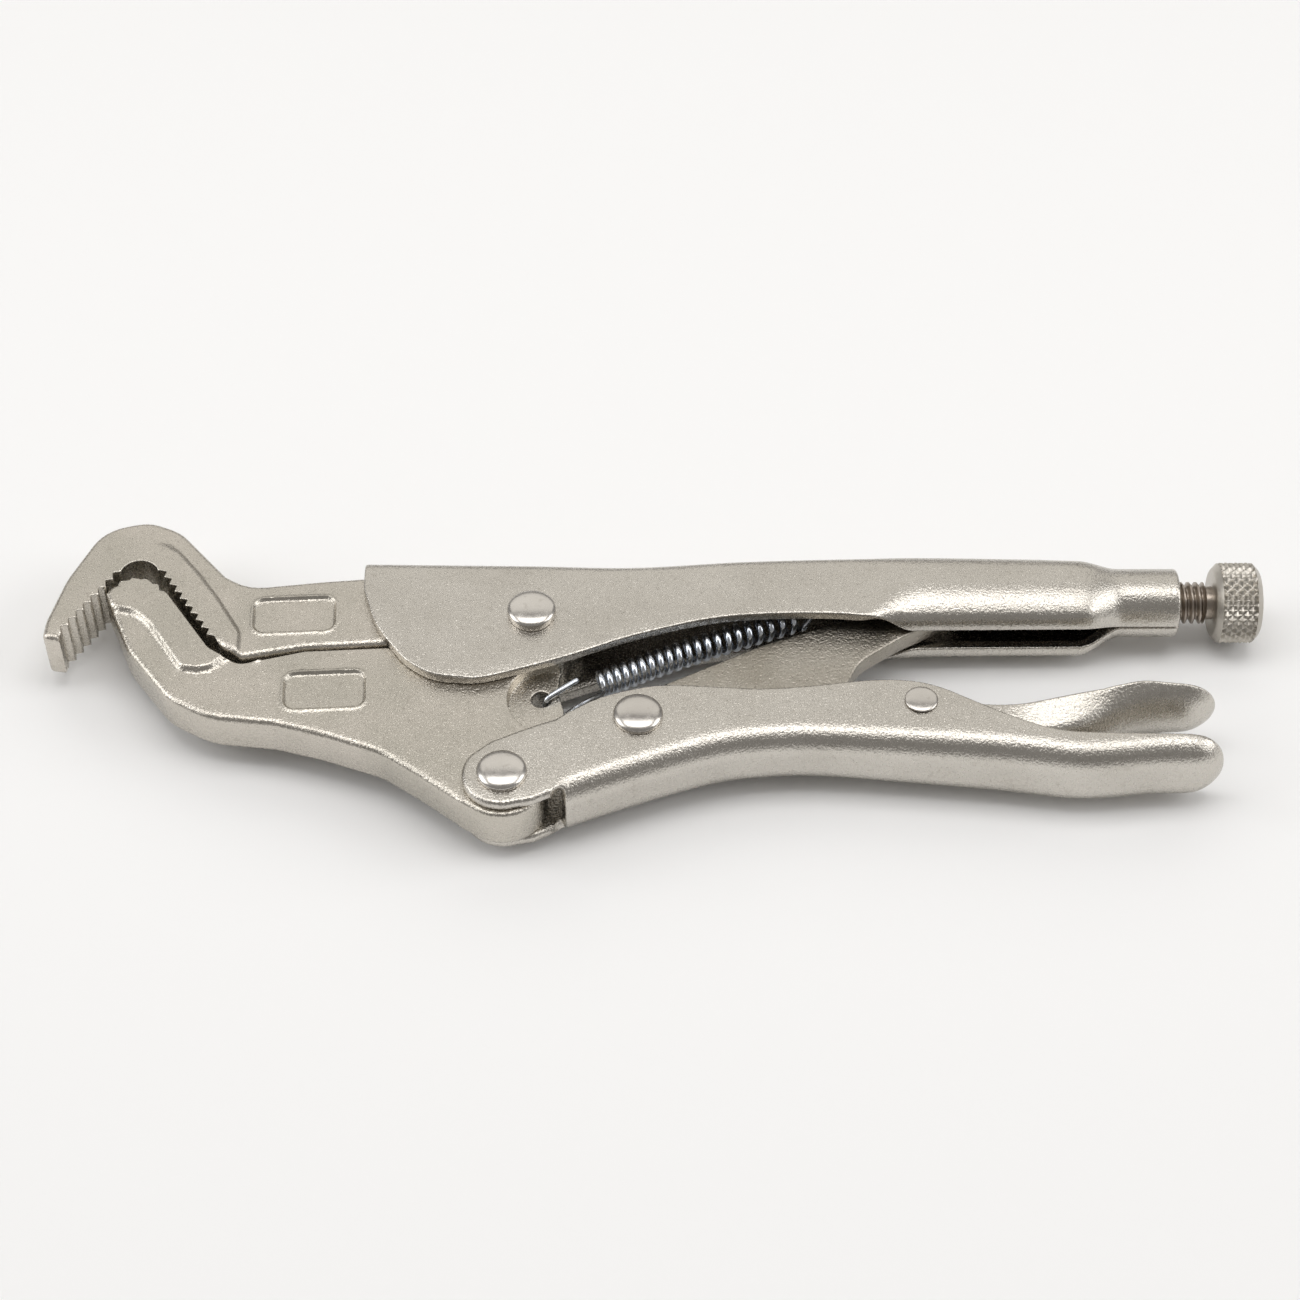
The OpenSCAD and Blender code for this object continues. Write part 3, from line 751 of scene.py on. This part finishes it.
# The handle from the side: its top, its lower edge and where its ferrule ends
UPPER_TOP = [(-34, 5.4), (0, 4.9), (19, 4.5), (40, 6), (66, 6.8), (94, 6.4), (105, 6), (111.3, 6.35)]
UPPER_EDGE = [(-34, -25.6), (-16, -24.8), (-10.5, -24.3), (-7.5, -23.8), (2, -20.7), (7, -18.8),
    (17.6, -14.4), (28.2, -11), (33.5, -9.7), (38.9, -8.9), (46.9, -8.4), (56, -8.4), (60, -8.7),
    (65.5, -9.6), (69, -10), (74, -9.8), (106, -9.5)]
HANDLE_END = 122.0
FERRULE_R = 6.4


def upper_section(x):
    """Web, corner, wall, a slack and a tight bend into the lip, and the lip, from outside measures.
    The channel closes to a barrel from x = 60 to 73.5, and that to the ferrule from 103 to 111.3."""
    barrel, ferrule, skin = ramp(x, 60, 73.5), ramp(x, 103, 111.3), SHEET / 2
    width = lerp(lerp(6.5, 8, barrel), FERRULE_R, ferrule)
    corner = lerp(lerp(2.6, 4.6, barrel), 6.2, ferrule)
    top = curve(UPPER_TOP, x)
    slack_turn = np.radians(lerp(lerp(1, 30, barrel), 43, ferrule))
    tight_turn = np.radians(lerp(lerp(7, 70, barrel), 43, ferrule))
    slack, tight = lerp(12, 6.1, ferrule), lerp(lerp(3, 3.3, barrel), 6.1, ferrule)
    turn = slack_turn + tight_turn
    left = width - slack * (1 - np.cos(slack_turn)) - tight * (np.cos(slack_turn) - np.cos(turn))
    lip = lerp(0.1, (left - lerp(2.45, 0.15, ferrule)) / np.sin(turn), barrel ** 3)
    low = np.sin(np.minimum(turn, math.pi / 2)) - np.sin(slack_turn)
    depth = slack * np.sin(slack_turn) + tight * low + lip * np.maximum(np.cos(turn), 0)
    wall_end = lerp(curve(UPPER_EDGE, x) + lerp(0, 0.3, barrel), -FERRULE_R, ferrule) + depth
    return top - skin, [
        (width - corner, 0),
        (math.pi / 2 * (corner - skin), math.pi / 2),
        (top - corner - wall_end, 0),
        ((slack - skin) * slack_turn, slack_turn),
        ((tight - skin) * tight_turn, tight_turn),
        (lip, 0),
    ]


def upper_rim(x):
    """Length of the section from the web's middle to the edge of the lip."""
    return sum(length for length, _ in upper_section(x)[1])


def upper_handle():
    """A channel over the jaws, a barrel round the screw, and a round ferrule."""
    front = rounded([
        (-31.9, 2.4), (-31.8, -2, 4), (-29.1, -11.2, 20), (-23.2, -19.8, 12), (-18, -23.4, 10),
        (-10.5, -24.2)])
    xs = np.arange(-9.6, HANDLE_END - 0.3, 0.7)
    edge = np.stack([xs, upper_rim(xs)], 1)
    end = np.array([(HANDLE_END, float(upper_rim(HANDLE_END)))])
    loop = chain(mirrored([
        ([(-31.9, 0.4)], 0.45),
        (on_wall(upper_section, front), 0.35),
        (edge, 0.3),
        (end, 0.6),
        ([(HANDLE_END, 0.4)], 0.6),
    ]), 0.7)
    columns = np.concatenate([np.arange(-31, 56, 1.6), np.arange(56, HANDLE_END, 0.9)])
    inner = strip_rows(upper_section, columns, upper_rim(columns), (4, 7, 9, 6, 9, 2))
    return shell([loop], inner, bent(upper_section), lambda q: np.full(len(q), SHEET / 2))


TAB_HALF = 0.8


def spring_tab():
    """The tab under the web that holds the spring."""
    outline = rounded([(57, -1.6, 1.2), (61.4, -1.6, 1.2), (61.4, 5.4), (57, 5.4)], closed=True)
    loop = chain([(outline, 0.3)], 0.5)
    hole = arc((59.2, 0.4), 1, 360, 0, 20)[:-1]
    inner = hexes((57, -2), (62, 6), 0.7)
    hole_radii = np.full(len(hole), 0.15)
    return shell([loop, (hole, hole_radii)], inner, flat_place, lambda q: np.full(len(q), TAB_HALF))


solid("upper_handle_sheet", upper_handle(), SATIN, "upper", "upper_handle")
solid("spring_tab", spring_tab(), SATIN, "upper", "upper_handle")

# ---------- lower handle ----------

# The handle from the side: the underside of its web, the edge of its walls, the notch between its
# ears, and where its rounded end starts and how far it reaches
LOWER_FLOOR = [(4, -52.2), (15, -47.7), (27, -43.1), (36, -40.4), (46, -39.2), (54, -39.2), (64, -40),
    (85, -42), (93, -43.1), (99, -43.9), (105, -43.7), (113, -42.8), (121, -42.5), (127, -41.0)]
LOWER_RIM = [(4, -34.2), (6.2, -32.9), (13, -28.8), (21, -26.3), (26, -25.8), (35, -26.3), (42, -26.7),
    (51, -26.1), (61, -24.9), (67, -24.8), (72, -25.6), (76, -27.2), (80, -29.5), (88, -33.9), (95, -36.6),
    (101, -37.4), (120, -37.9), (124.6, -38.5), (127, -39.6)]
NOTCH_X = 6.7
LOWER_BOW = 119.7
LOWER_REACH = 6.1
WALL_SPARE = 1000


def lower_section(x):
    """Upside down, so heights are negated. In front of the notch the wall goes straight on down. The
    wall is longer than it has to be, because the handle's outline ends it."""
    width = lerp(6.5, 7.2, ramp(x, 45, 90)) - SHEET / 2
    floor = lerp(-56, curve(LOWER_FLOOR, x), ramp(x, 1, 6.6))
    corner = lerp(lerp(1.3, 4.4, ramp(x, 2, 8)), 4.6, ramp(x, 45, 90)) - SHEET / 2
    return -floor - SHEET / 2, [(width - corner, 0), (math.pi / 2 * corner, math.pi / 2), (WALL_SPARE, 0)]


def lower_rim(x):
    """Length of the section from the web's middle to the edge of the wall."""
    x = np.atleast_1d(np.asarray(x, float))
    return on_wall(lower_section, np.stack([x, curve(LOWER_RIM, x)], 1), -1)[:, 1]


def lower_handle():
    """A channel with two ears round the movable jaw and a bowl-shaped hand end."""
    ear = resample(np.concatenate([[(4.4, -50.8), (1.2, -52.5)], arc(LEVER_PIVOT, 7.2, 290, 142, 24),
        [(-6.6, -38.9), (-1.7, -36.5), (3, -34.4), (5.6, -33.3)]]), 0.5)
    xs = np.arange(7, LOWER_BOW, 0.8)
    top_of_notch = float(on_wall(lower_section, [(4.4, -50.8)], -1)[0, 1])
    loop = chain(mirrored([
        ([(NOTCH_X, 0.4)], 0.45),
        (rounded([(NOTCH_X, 1.0), (NOTCH_X, top_of_notch, 2.2), (4.4, top_of_notch)]), 0.4),
        (on_wall(lower_section, ear, -1), 0.9),
        (np.stack([xs, lower_rim(xs)], 1), 0.45),
        (bowl_edge(lower_rim, LOWER_BOW, LOWER_REACH), 0.6),
    ]), 0.7)
    columns = np.concatenate([np.arange(-11, 8, 1.0), np.arange(8, LOWER_BOW, 1.3)])
    inner = np.concatenate([strip_rows(lower_section, columns, lower_rim(columns), (4, 9, 8)),
        bowl_rows(lower_section, lower_rim, LOWER_BOW, LOWER_REACH, (4, 9, 3))])
    return shell([loop], inner, bent(lower_section, -1, LOWER_BOW, LOWER_REACH),
        lambda q: np.full(len(q), SHEET / 2))


solid("lower_handle_sheet", lower_handle(), SATIN, "lever", "lower_handle")

# ---------- release lever ----------

# The lever from the side: its rim, the underside of its web, and where its rounded end starts and
# how far it reaches
SPOON_RIM = [(58, -26.6), (66, -26.3), (71.3, -26.2), (76, -26.8), (80, -27.8), (84, -28.6), (90, -29),
    (96.5, -28.3), (102, -27.5), (107.7, -26.6), (113, -25.9), (119, -26), (125.8, -26.3)]
SPOON_WEB = [(58, -30), (64, -33.5), (70, -35.2), (80, -35.8), (90, -36), (98, -35.2), (104, -33),
    (110, -30.5), (116, -29.4), (125.8, -29)]
THIN_SHEET = 1.3
RELEASE_BOW = 119.4
RELEASE_REACH = 6.1


def release_section(x):
    """Upside down: a web, a bend and a wall, which flare out into a shallow spoon at the tail."""
    skin, flare, tail = THIN_SHEET / 2, ramp(x, 82, 98), ramp(x, 98, 113)
    turn = np.radians(lerp(lerp(88, 70, flare), 47, tail))
    bend = lerp(lerp(2.2, 3.2, flare), 8, tail)
    width = lerp(4.1, 6.8, ramp(x, 80, 106)) - skin * np.sin(turn)
    rise = curve(SPOON_RIM, x) + skin * np.cos(turn) - curve(SPOON_WEB, x) - skin
    wall = np.maximum((rise - bend * (1 - np.cos(turn))) / np.sin(turn), 0.3)
    flat = np.maximum(width - bend * np.sin(turn) - wall * np.cos(turn), 0.15)
    return -curve(SPOON_WEB, x) - skin, [(flat, 0), (bend * turn, turn), (wall, 0)]


def release_rim(x):
    """Length of the section from the web's middle to the rim."""
    return sum(length for length, _ in release_section(np.atleast_1d(np.asarray(x, float)))[1])


def release_lever():
    """A thin channel inside the lower handle, with a spoon for the hand at its tail."""
    xs = np.arange(58.4, RELEASE_BOW, 0.8)
    loop = chain(mirrored([
        ([(58, 0.4)], 0.3),
        ([(58, release_rim(58)[0])], 0.3),
        (np.stack([xs, release_rim(xs)], 1), 0.35),
        (bowl_edge(release_rim, RELEASE_BOW, RELEASE_REACH), 0.35),
    ]), 0.7)
    columns = np.arange(58.8, RELEASE_BOW, 1.3)
    inner = np.concatenate([strip_rows(release_section, columns, release_rim(columns), (3, 9, 5)),
        bowl_rows(release_section, release_rim, RELEASE_BOW, RELEASE_REACH, (2, 9, 4))])
    return shell([loop], inner, bent(release_section, -1, RELEASE_BOW, RELEASE_REACH),
        lambda q: np.full(len(q), THIN_SHEET / 2))


solid("release_lever_sheet", release_lever(), SATIN, "release", "release_lever")

# ---------- toggle link ----------

LINK_HALF = 2.0


def toggle_link():
    """A flat bar, drawn along the line from its pivot to its seat in the barrel."""
    way = unit(LINK_SEAT - LINK_PIVOT)
    side = np.array([-way[1], way[0]])
    end = float(np.linalg.norm(LINK_SEAT - LINK_PIVOT)) + 0.2
    corners = [(-6.6, -6.6, 6), (16, -8.6, 20), (37.8, -9.2, 5), (44, -4.4, 8), (54, -2.9, 14),
        (end, -2.7, 2.6), (end, 3.3, 3.29), (54, 5, 12), (30, 7.7, 20), (9, 7.7, 8), (-6.6, 6.6, 6)]
    outline = [(*(LINK_PIVOT + way * a + side * b), r) for a, b, r in corners]
    loop = chain([(rounded(outline, closed=True, step=6), 0.4)], 0.7)
    inner = hexes((10, -46), (84, 4), 1.6)
    return shell([loop], inner, flat_place, lambda q: np.full(len(q), LINK_HALF))


# The link's darker nickel is painted shade from the upper handle
solid("toggle_link_plate", toggle_link(), SHADED_NICKEL, "link", "toggle_link")

# ---------- turned pieces ----------


def turned(profile, axis, columns=64, ripple=None):
    """A solid turned from (along, radius) points, as vertices about the origin along x or z."""
    profile = np.asarray(profile, float)
    angle = np.arange(columns) * 2 * math.pi / columns
    along, angle = np.meshgrid(profile[:, 0], angle, indexing="ij")
    radius = np.broadcast_to(profile[:, 1:2], along.shape)
    if ripple:
        radius = radius - ripple(along, angle)
    y, z = radius * np.cos(angle), radius * np.sin(angle)
    grid = np.stack([along, y, z] if axis == "x" else [z, y, along], 2).reshape(-1, 3)
    m = len(profile)
    index = np.arange(m * columns).reshape(m, columns)
    beyond = np.roll(index, -1, axis=1)
    faces = [tuple(f) for f in np.stack([index[:-1], index[1:], beyond[1:], beyond[:-1]], 2).reshape(-1, 4)]
    faces += [tuple(index[0]), tuple(index[-1][::-1])]
    if axis != "x":
        faces = [f[::-1] for f in faces]
    return grid, [f[::-1] for f in faces]


def rivet_head(radius, face, rim, dome):
    """A rivet's head, from its face outwards and up over the dome, as (height, radius)."""
    t = np.radians(np.linspace(0, 88, 16))
    over = np.stack([face + rim + dome * np.sin(t), radius * np.cos(t) ** 0.9], 1)
    edge = [(face, radius - 0.2), (face + 0.1, radius - 0.03), (face + 0.22, radius)]
    return np.concatenate([edge, over])


def rivet(name, at, body, shank, radius, face, rim, dome):
    """A shank with a head at each side. A head has a face on the sheet, a straight rim and a dome."""
    half_profile = np.concatenate([[(face, shank)], rivet_head(radius, face, rim, dome)])
    profile = np.concatenate([half_profile[::-1] * (-1, 1), half_profile])
    vertices, faces = turned(profile, "z")
    solid(name + "_turned", (vertices + (*at, 0), faces), BRIGHT, body, name, sharp=40)


rivet("jaw_pivot_rivet", JAW_PIVOT, "upper", shank=3.2, radius=4.5, face=6.5, rim=1.3, dome=1.1)
rivet("lever_pivot_rivet", LEVER_PIVOT, "lever", shank=3.2, radius=4.5, face=6.5, rim=0.5, dome=1.3)
rivet("link_pivot_rivet", LINK_PIVOT, "lever", shank=3.2, radius=4.5, face=6.5, rim=0.5, dome=1.3)
rivet("release_pivot_rivet", RELEASE_PIVOT, "lever", shank=2.0, radius=3.0, face=7.05, rim=0.15, dome=0.5)

# The screw starts at SCREW_X with a bore for its nose and ends inside the knob
THREAD_R = 3.97
THREAD_DEPTH = 0.85
PITCH = 1.411
SCREW_X = 84.35
BORE_R, BORE_DEPTH = 1.55, 6.2
KNOB_X = 128.7
KNOB_R = 7.65
KNOB_L = 8.79
SOCKET_DEPTH = 4
KNURL_PITCH = 1.9
KNURL_COUNT = 25
KNURL_DEPTH = 0.62
# Radius that closes a turned solid's end round its axis
TIP_R = 0.05


def screw():
    """A rod with a right-hand thread."""
    turns = np.arange(SCREW_X + 0.8, KNOB_X - 1.5, PITCH / 8)
    core = THREAD_R - THREAD_DEPTH
    profile = np.concatenate([
        [(SCREW_X + BORE_DEPTH, TIP_R), (SCREW_X + BORE_DEPTH, BORE_R), (SCREW_X, BORE_R),
            (SCREW_X, THREAD_R - 0.8)],
        np.stack([turns, np.full(len(turns), THREAD_R)], 1),
        [(KNOB_X - 1.2, core), (KNOB_X + SOCKET_DEPTH, core), (KNOB_X + SOCKET_DEPTH, TIP_R)],
    ])

    def thread(along, angle):
        phase = np.mod(along / PITCH - angle / (2 * math.pi), 1)
        depth = THREAD_DEPTH * np.clip(1.35 - np.abs(phase - 0.5) * 3.6, 0, 1)
        on = (along > SCREW_X + 0.9) & (along < KNOB_X - 1.6)
        return np.where(on, depth, 0)

    return turned(profile, "x", 40, thread)


def knob():
    """A knob with a socket for the screw, chamfered ends and a diamond knurl between them."""
    end = KNOB_X + KNOB_L
    ridges = np.arange(KNOB_X + 1.3, end - 1.29, KNURL_PITCH / 8)
    profile = np.concatenate([
        [(KNOB_X + SOCKET_DEPTH, TIP_R), (KNOB_X + SOCKET_DEPTH, 3.12), (KNOB_X, 3.12),
            (KNOB_X, KNOB_R - 1.5), (KNOB_X + 0.15, KNOB_R - 1.2), (KNOB_X + 1.15, KNOB_R - 0.12)],
        np.stack([ridges, np.full(len(ridges), KNOB_R)], 1),
        [(end - 1.15, KNOB_R - 0.12), (end - 0.15, KNOB_R - 1.2), (end, KNOB_R - 1.5), (end, TIP_R)],
    ])

    def knurl(along, angle):
        u, v = (along - KNOB_X) / KNURL_PITCH, angle * KNURL_COUNT / (2 * math.pi)
        groove = [np.abs(np.mod(k, 1) - 0.5) * 2 for k in (u + v, u - v)]
        depth = KNURL_DEPTH * np.maximum(*[np.clip(g * 1.15 - 0.15, 0, 1) for g in groove])
        on = (along > KNOB_X + 1.25) & (along < end - 1.25)
        return np.where(on, depth, 0)

    return turned(profile, "x", KNURL_COUNT * 10, knurl)


solid("adjusting_screw_thread", screw(), SCREW, "screw", "adjusting_screw", sharp=50)
solid("adjusting_knob_knurled", knob(), KNURLED, "screw", "adjusting_knob", sharp=30)

# ---------- spring ----------

# The coil's ends at the jaw and at the tab, and its radius to the middle of the wire
COIL_A = (12.6, -20.6)
COIL_B = (50.5, -3.9)
COIL_R = 2.15
COIL_TURNS = 21
COIL_BOW = 0.7
WIRE_R = 0.57


def spring_path():
    """The wire's middle line: a hook through the jaw, a coil that closes up towards the jaw, and a
    hook on the tab."""
    a, b = np.array(COIL_A), np.array(COIL_B)
    t = np.linspace(0, 1, COIL_TURNS * 24 + 1)
    centre = a + (b - a) * (0.78 * t + 0.22 * t * t)[:, None]
    centre[:, 1] += COIL_BOW * np.sin(math.pi * t)
    across = unit([a[1] - b[1], b[0] - a[0]])
    angle = 2 * math.pi * COIL_TURNS * t - math.pi / 2
    coil = np.concatenate([centre + COIL_R * np.sin(angle)[:, None] * across,
        COIL_R * np.cos(angle)[:, None]], 1)
    hook = [(8.6, -21.8, 3), (5.4, -24.4, 3), (3.4, -25.8, 2.5), (2.9, -26.1, 1.2), (2.9, -26.1, -1.2),
        (3.3, -26.1, -2.3), (4.4, -26.2, -2.8), (6.6, -25.6, -2.6), (8.6, -24.6, -1.6)]
    tail = [(53, -2.6, 0), (57.2, 0, 1.5), (58.9, 0.4, 1.5), (59.3, 0.4, 0), (58.9, 0.4, -1.5),
        (57.4, 0.3, -1.6)]
    return np.concatenate([smooth_path(hook), coil, smooth_path(tail)])


def smooth_path(points, n=6):
    """A path through the points with cubic steps between them."""
    p = np.array(points, float)
    slope = np.gradient(p, axis=0)
    t = np.linspace(0, 1, n, endpoint=False)[:, None]
    parts = [
        (1 + 2 * t) * (1 - t) ** 2 * p[i] + t * (1 - t) ** 2 * slope[i]
        + t * t * (3 - 2 * t) * p[i + 1] + t * t * (t - 1) * slope[i + 1]
        for i in range(len(p) - 1)
    ]
    return np.concatenate([*parts, p[-1:]])


def wire(path, radius, sides=10):
    """A round wire along a path, its frame carried along without twist, with rounded ends."""
    way = np.gradient(path, axis=0)
    way /= np.linalg.norm(way, axis=1)[:, None]
    across = unit(np.cross(way[0], (0, 0.3, 1)))
    turn = 2 * math.pi * np.arange(sides) / sides
    rings = []
    for i, (p, t) in enumerate(zip(path, way)):
        across = unit(across - t * (across @ t))
        over = np.cross(t, across)
        ring = np.cos(turn)[:, None] * across + np.sin(turn)[:, None] * over
        if i == 0:
            rings.append(p - t * radius * 0.35 + ring * radius * 0.6)
        rings.append(p + ring * radius)
        if i == len(path) - 1:
            rings.append(p + t * radius * 0.35 + ring * radius * 0.6)
    index = np.arange(len(rings) * sides).reshape(len(rings), sides)
    beyond = np.roll(index, -1, axis=1)
    faces = [tuple(f) for f in np.stack([index[:-1], beyond[:-1], beyond[1:], index[1:]], 2).reshape(-1, 4)]
    return np.concatenate(rings), faces + [tuple(index[0][::-1]), tuple(index[-1])]


def add_spring():
    """The spring, which stretches between the jaw and the upper handle."""
    spring = add_mesh("return_spring_wire", wire(spring_path(), WIRE_R), SPRING)
    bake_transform(spring)
    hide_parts("return_spring")


add_spring()

# ---------- looks of the CAD nodes ----------

for node_name, cad_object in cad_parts.items():
    finish = SATIN
    if "rivet" in node_name or "knob" in node_name or "washer" in node_name:
        finish = BRIGHT
    elif "screw" in node_name:
        finish = SCREW
    elif "spring" in node_name:
        finish = SPRING
    cad_object.data.materials.clear()
    cad_object.data.materials.append(finish)
